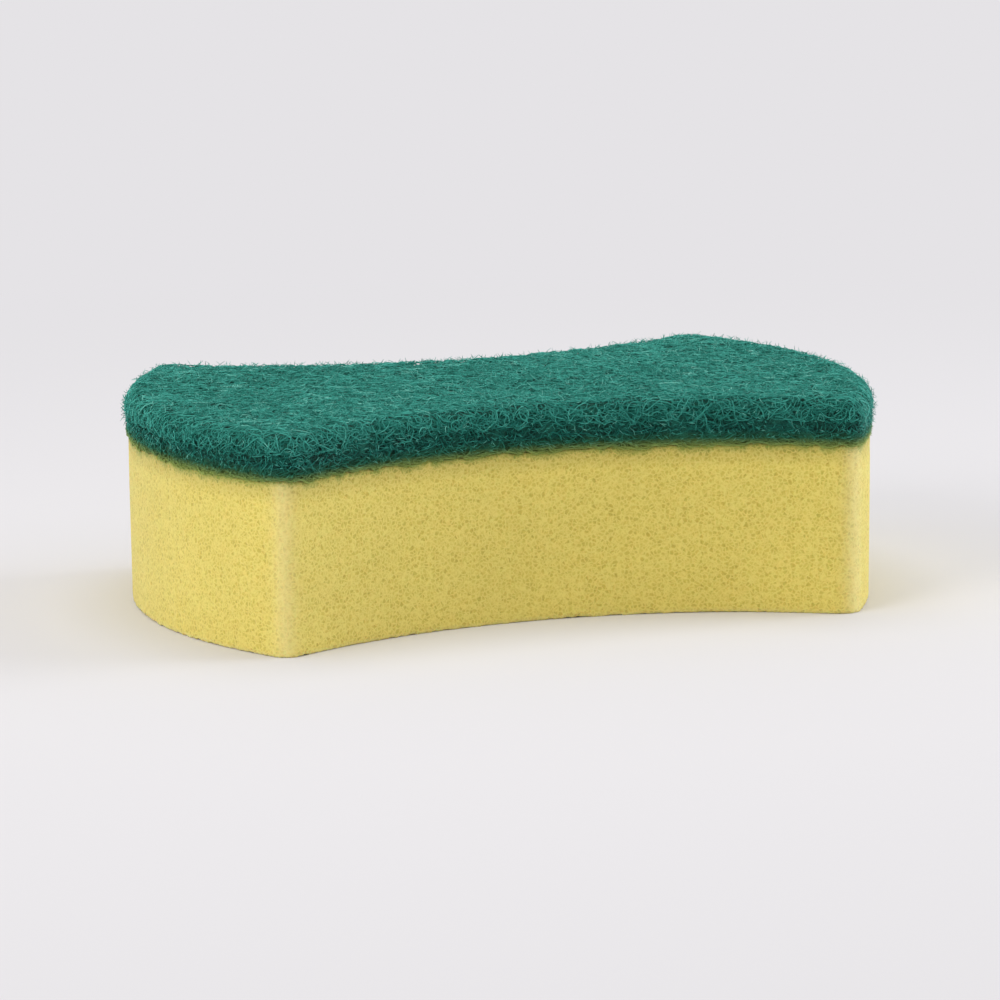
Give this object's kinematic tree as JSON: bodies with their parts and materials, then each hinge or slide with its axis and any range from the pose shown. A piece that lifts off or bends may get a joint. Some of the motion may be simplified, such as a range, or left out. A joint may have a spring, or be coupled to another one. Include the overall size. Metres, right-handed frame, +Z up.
{
  "type": "cleaning sponge",
  "caption": "Hourglass cleaning sponge: soft foam block to wipe and hold water, with a fibre scouring pad bonded over one face",
  "frame": {"origin": "middle of the foam's flat underside, on which the sponge lies", "axes": "+X along the sponge between its bowed ends, +Y across it from waist to waist, +Z up through the foam to the scouring pad"},
  "size_m": [0.1108, 0.0712, 0.0318],
  "materials": {
    "foam": "matt yellow open-cell polyurethane foam, cut faces with fine pores",
    "scouring_web": "teal green non-woven nylon web, coarse matted fibres"
  },
  "bodies": {
    "root": {"foam_block": "foam", "scouring_pad": "scouring_web"}
  },
  "joints": []
}
